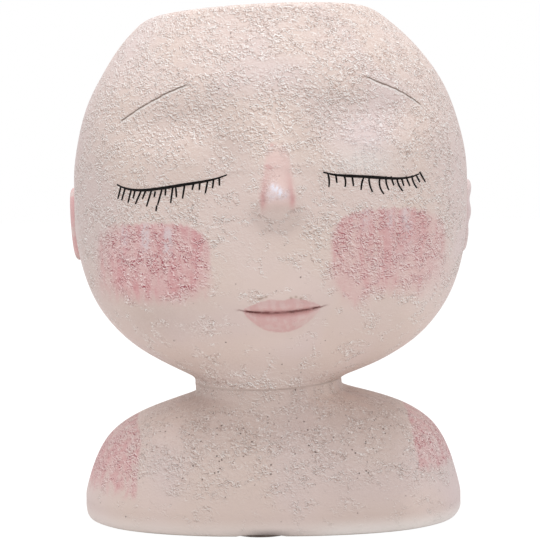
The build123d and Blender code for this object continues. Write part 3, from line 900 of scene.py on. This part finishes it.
def shoulder_rings(level, inset=0.0, shape=None, share=None):
    """Ovals through (|cos|^p, |sin|^p), squarer where wide, on planes that lean more towards the neck."""
    level = np.reshape(level, (-1, 1))
    shape = level if shape is None else np.reshape(shape, (-1, 1))
    wide = shoulder_share(shape)
    power = 2 / (2 + 0.5 * wide)
    across, deep = (np.sign(wave) * np.abs(wave) ** power
                    for wave in (np.cos(shoulder_angle), np.sin(shoulder_angle)))
    half_width, front, back = (larger(size * wide, neck, SHOULDER_BLEND) - inset for size, neck in (
        (SHOULDER_HALF_WIDTH, NECK_HALF_WIDTH), (SHOULDER_HALF_DEPTH, NECK_FRONT), (SHOULDER_HALF_DEPTH, NECK_BACK)))
    x = half_width * across + side_shift(shape)
    y = deep * ((front + back) / 2 - deep * (front - back) / 2)
    tilt = LEAN * (ramp(level, UNDERSIDE, NECK_HEIGHT) if share is None else np.reshape(share, (-1, 1)))
    return np.stack([x * np.cos(tilt), y + 0 * x, level + x * np.sin(tilt)], axis=-1)


# %% The shoulders' casting
neck_foot = NECK_HEIGHT - BOND_THICKNESS / 2
outer_levels = spread_levels(UNDERSIDE + BASE_ROUND, neck_foot, SHOULDER_LEVELS,
                             lambda z: shoulder_rings(z)[:, :, 0].max(axis=1), lambda z: 1 + 0 * z)[::-1]
shoulder_outer = shoulder_rings(outer_levels)
shoulder_outer[3:] = hand_made(shoulder_outer[3:], BASE_WAVE)
turn = np.linspace(0, np.pi / 2, FOOT_RINGS + 1)[1:]
foot = shoulder_rings(UNDERSIDE + BASE_ROUND * (1 - np.sin(turn)), (BASE_ROUND * (1 - np.cos(turn)))[:, None])
foot = hand_made(foot, BASE_WAVE)
recess = circle(shoulder_angle, RECESS_RADIUS, UNDERSIDE, 0)
steps = np.array([0.08, 0.2, 0.24, 0.5, 0.8, 1.0])[:, None, None]
under = foot[-1:] * (1 - steps) + recess * steps
drain = np.concatenate([circle(shoulder_angle, *ring, 0) for ring in (
    (RECESS_RADIUS, UNDERSIDE + RECESS_DEPTH), (DRAIN_RADIUS, UNDERSIDE + RECESS_DEPTH), (DRAIN_RADIUS, FLOOR_TOP))])
climb = np.linspace(0, 1, CHAMBER_RINGS)
chamber = shoulder_rings(FLOOR_TOP + (CHAMBER_TOP - FLOOR_TOP) * climb, BASE_WALL,
                         UNDERSIDE + (NECK_HEIGHT - UNDERSIDE) * climb, ramp(climb, 0, 1))
chamber_floor = drain[-1:] * (1 - steps[3:5]) + chamber[:1] * steps[3:5]
collar = np.concatenate([circle(shoulder_angle, SOCKET_RADIUS, height) for height in (CHAMBER_TOP, neck_foot)])
shoulder_grid = np.concatenate([shoulder_outer, foot, under, drain, chamber_floor, chamber, collar])
arch = NOTCH_HEIGHT * np.sqrt(np.clip(1 - ((shoulder_grid[..., 0] + NOTCH_SHIFT) / NOTCH_HALF_WIDTH) ** 2, 0, 1))
arch = arch * ramp(shoulder_grid[..., 1], NOTCH_DEPTH - SHOULDER_HALF_DEPTH, NOTCH_DEPTH - SHOULDER_HALF_DEPTH - 3)
low = np.arange(len(shoulder_grid))[:, None] < len(shoulder_outer) + len(foot) + len(under)
shoulder_grid[..., 2] = np.where(low, np.maximum(shoulder_grid[..., 2], UNDERSIDE + arch), shoulder_grid[..., 2])
shoulder_hollow = (np.arange(len(shoulder_grid)) >= len(shoulder_outer) + PAINTED_FOOT_RINGS).astype(float)
print("shoulder grid:", shoulder_grid.shape)


# %% The shoulders' finish
def base_finish():
    """The skin coat, pitted on the chest, with painted shade under the head, ragged blush on both shoulders, a
    painted highlight along the foot and painted shade at its notch.
    """
    finish, (x, y, z) = material("shoulder_paint")
    hollow = finish.node("Attribute", {"attribute_name": "hollow"}, out="Fac")
    front = ramp(y, 8, -14)
    chest = between(z, 17, 43, 4) * front
    height, wrinkle, holes, relief = skin_coat(finish, ramp(z, 20, 10) * 0.8, chest * 0.3)
    pits = (pinholes(finish, 1.5, 0.36) * finish.patches(7.0, 0.42, 0.54, 1.0)
            * finish.patches(1.9, 0.42, 0.58, 0.0) * chest)
    # Painted shade, deeper towards the neck, less on the lit left slope, the right shoulder's outside and the right
    # of the neck.
    right_side, lit_slope = ramp(x, 8, 22) * ramp(x, 48, 38), ramp(-x, 24, 34) * ramp(z, 22, 32)
    painted_shade = ((0.24 + ramp(z, 20, 38) * 0.4) * (1 - lit_slope * 0.8) * (1 - ramp(x, 38, 47) * 0.5)
            + right_side * ramp(z, 43, 37) * 0.17 - ramp(x, 6, 20) * ramp(z, 38, 45) * 0.75)
    tone = skin_tone(finish, x, relief * 0.68, limited(holes + pits), limited(painted_shade), 0.62)
    ragged = (finish.noise(1.8, stretch=(1, 0.3, 0.3)) - 0.5) * 3.5
    left = (ramp(x + ragged * 0.3 + (25 - z) * 0.06, -42.1, -43.5) * ramp(x + z * 0.72 + ragged * 0.5, -19.2, -21.0)
            * ramp(z + ragged, 11.0, 15.5))
    right = ramp(x + ragged * 0.3 - (33 - z) * 0.13, 44.2, 45.6) * between(z + ragged, 20.5, 41.0, 1.8)
    blush = limited(left + right) * ramp(y, 14, -4)
    outer_band = left * ramp(-x, 52, 57) * between(z, 17, 29, 3)
    red = blush * finish.patches(3.4, 0.48, 0.62, 2.0, 0.6) * 0.3 + outer_band * 0.3
    strokes = finish.noise(2.6, stretch=(1, 0.5, 0.25))
    # A smudge of painted shade round the notch at the front of the foot; the coats that follow add a painted
    # highlight along the foot's lower edge, stronger to the right.
    shade_smudge = hill(x + 1.5, 7.0) * ramp(z, 5.0, 2.0) * front
    tone = finish.coats(
        tone, *blush_coats(blush, 0.4 + (strokes - 0.5) * 1.5, red, relief, (1.5, 0.85), (1.4, 0.7)),
        (ramp(z, 8, 2) * (1 - hollow) * (0.4 + ramp(x, 8, 22) * 0.35), HIGHLIGHT_TONE), (shade_smudge * 0.85, NOTCH_SHADE),
        raw_coat(finish, hollow, 0.1))
    return finish.surface(tone, 0.62 - wrinkle * 0.12, height - pits * 0.25, PAINT_SPECULAR)


shoulder_casting = piece("shoulder_casting", shoulder_grid[::-1], ring_faces(shoulder_grid),
                         base_finish(), "base_resin", hollow=(shoulder_hollow[:, None] + 0 * shoulder_angle)[::-1])
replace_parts(shoulder_casting, "shoulder_base")

# %% [markdown]
# ## The neck joint, the stopper and the pads
# Filler closes the joint between the castings and is painted over, so only a faint groove shows. Stopper and
# pads keep their built shapes, and get rubber and foam finishes.

# %% Neck bond
def bond_bead():
    """A ring with a shallow groove round its outer side, and the socket as its inner side."""
    level = np.linspace(-0.5, 0.5, 6)[:, None]
    inset = BOND_INSET + BOND_GROOVE * hill(level, 0.25)
    x, y = oval(shoulder_angle, NECK_HALF_WIDTH - inset, NECK_FRONT - inset, NECK_BACK - inset)
    x = x - NECK_DRIFT
    outer_side = np.stack([x * cos(LEAN), y, NECK_HEIGHT + level * 0.9 + x * sin(LEAN)], axis=-1)
    return np.concatenate([outer_side] + [circle(shoulder_angle, SOCKET_RADIUS, NECK_HEIGHT + up)
                                          for up in (0.29, -0.29)])


def bond_finish():
    """Painted filler: the skin tone, a little darker, with brush grain."""
    finish, _ = material("bond_paint")
    tone = finish.coats(colour(206, 188, 180), (finish.patches(6.0, 0.4, 0.62), colour(212, 194, 186)))
    return finish.surface(tone, 0.64, (finish.noise(0.6) - 0.5) * 0.08, PAINT_SPECULAR)


bead = bond_bead()
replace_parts(piece("bond_bead", bead, ring_faces(bead), bond_finish(), "bond_filler"), "neck_bond")


# %% Rubber and foam
def rubber_finish():
    """Satin black rubber with a fine mould grain and dusty bloom."""
    finish, _ = material("stopper_rubber")
    bloom = finish.patches(5.0, 0.45, 0.7, 3.0)
    tone = finish.coats(colour(40, 39, 39), (bloom * 0.6, colour(74, 72, 70)))
    return finish.surface(tone, 0.45 + bloom * 0.25, (finish.noise(0.35) - 0.5) * 0.04)


def foam_finish():
    """Dull grey-brown foam: open cells of about a third of a millimetre, paler where it is rubbed."""
    finish, _ = material("pad_foam")
    cells = finish.node("TexVoronoi", sockets={"Vector": finish.vector, "Scale": 2.8}, out="Distance")
    rubbed = finish.patches(2.5, 0.45, 0.68)
    tone = finish.coats(colour(150, 136, 131), (rubbed * 0.6, colour(182, 168, 161)),
                        (ramp(cells, 0.35, 0.05), colour(116, 106, 101)))
    return finish.surface(tone, 0.85 - rubbed * 0.1, cells * 0.12)


rubber, foam = rubber_finish(), foam_finish()
carried_over = {"drain_plug": rubber, **{f"foot_pad_{side}": foam for side in ("front", "rear", "left", "right")}}
for node, finish in carried_over.items():
    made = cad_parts[node]
    made.data.materials.clear()
    made.data.materials.append(finish)
print("carried over:", sorted(carried_over))

# %% [markdown]
# ## Floor and light
# The picture has a bare white ground. The floor is white to the camera, keeps part of the planter's shadow, and
# glows weakly, as a bright room lights an underside. From below it is clear, so that the stopper can be looked
# at. One soft lamp hangs overhead, and a world that is brighter above fills in.

# %% Floor
WHITE = (1.0, 1.0, 1.0, 1.0)
TABLE_GREY, TABLE_GLOW = colour(205, 204, 203), 0.20
GROUND_GLOW, GROUND_SHARE, FLOOR_HALF = 1.16, 0.82, 6.0


def floor_finish():
    """White to the camera with some shadow kept, pale grey with a weak glow to other rays, clear from below."""
    finish = Finish(bpy.data.materials.new("floor_white"))
    camera_ray = finish.node("LightPath", out="Is Camera Ray")
    behind = finish.node("NewGeometry", out="Backfacing")
    matt = finish.node("BsdfDiffuse", sockets={"Color": TABLE_GREY})
    fill = finish.node("Emission", sockets={"Color": WHITE, "Strength": TABLE_GLOW})
    table = finish.node("AddShader", sockets={0: matt, 1: fill})
    ground = finish.node("Emission", sockets={"Color": WHITE, "Strength": GROUND_GLOW})
    seen = finish.node("MixShader", sockets={0: camera_ray * GROUND_SHARE, 1: table, 2: ground})
    shown = finish.node("MixShader", sockets={0: behind, 1: seen, 2: finish.node("BsdfTransparent")})
    finish.node("OutputMaterial", sockets={"Surface": shown})
    return finish.owner


floor_mesh = bpy.data.meshes.new("floor")
floor_mesh.from_pydata([(x * FLOOR_HALF, y * FLOOR_HALF, 0) for x, y in ((-1, -1), (1, -1), (1, 1), (-1, 1))],
                       [], [(0, 1, 2, 3)])
floor_mesh.materials.append(floor_finish())
floor = bpy.data.objects.new("floor", floor_mesh)
bpy.context.scene.collection.objects.link(floor)
print("floor:", 2 * FLOOR_HALF, "m wide")


# %% Lamp and world
KEY_PLACE, KEY_AIM = Vector((-0.05, 0.0, 1.35)), Vector((0, 0, 0.09))
KEY_SIZE, KEY_POWER = 0.40, 6.4
SKY_BELOW, SKY_ABOVE = (0.622, 0.617, 0.612, 1.0), (1.03, 1.03, 1.03, 1.0)

key_data = bpy.data.lights.new("key", "AREA")
key_data.size, key_data.energy = KEY_SIZE, KEY_POWER
key = bpy.data.objects.new("key", key_data)
key.matrix_world = (Matrix.Translation(KEY_PLACE)
                    @ (KEY_AIM - KEY_PLACE).to_track_quat("-Z", "Y").to_matrix().to_4x4())
bpy.context.scene.collection.objects.link(key)

studio = Finish(bpy.data.worlds.new("studio"))
upward = studio.node("SeparateXYZ", sockets={0: studio.node("TexCoord", out="Generated")}, out="Z")
sky = studio.coats(SKY_BELOW, (ramp(upward, 0.0, 1.0), SKY_ABOVE),
                   (studio.node("LightPath", out="Is Camera Ray"), WHITE))
studio.node("OutputWorld", sockets={"Surface": studio.node("Background", sockets={"Color": sky, "Strength": 1.0})})
bpy.context.scene.world = studio.owner
bpy.context.scene.view_settings.view_transform = "Standard"
print("lamp:", KEY_POWER, "W at", round(KEY_PLACE.z, 2), "m")
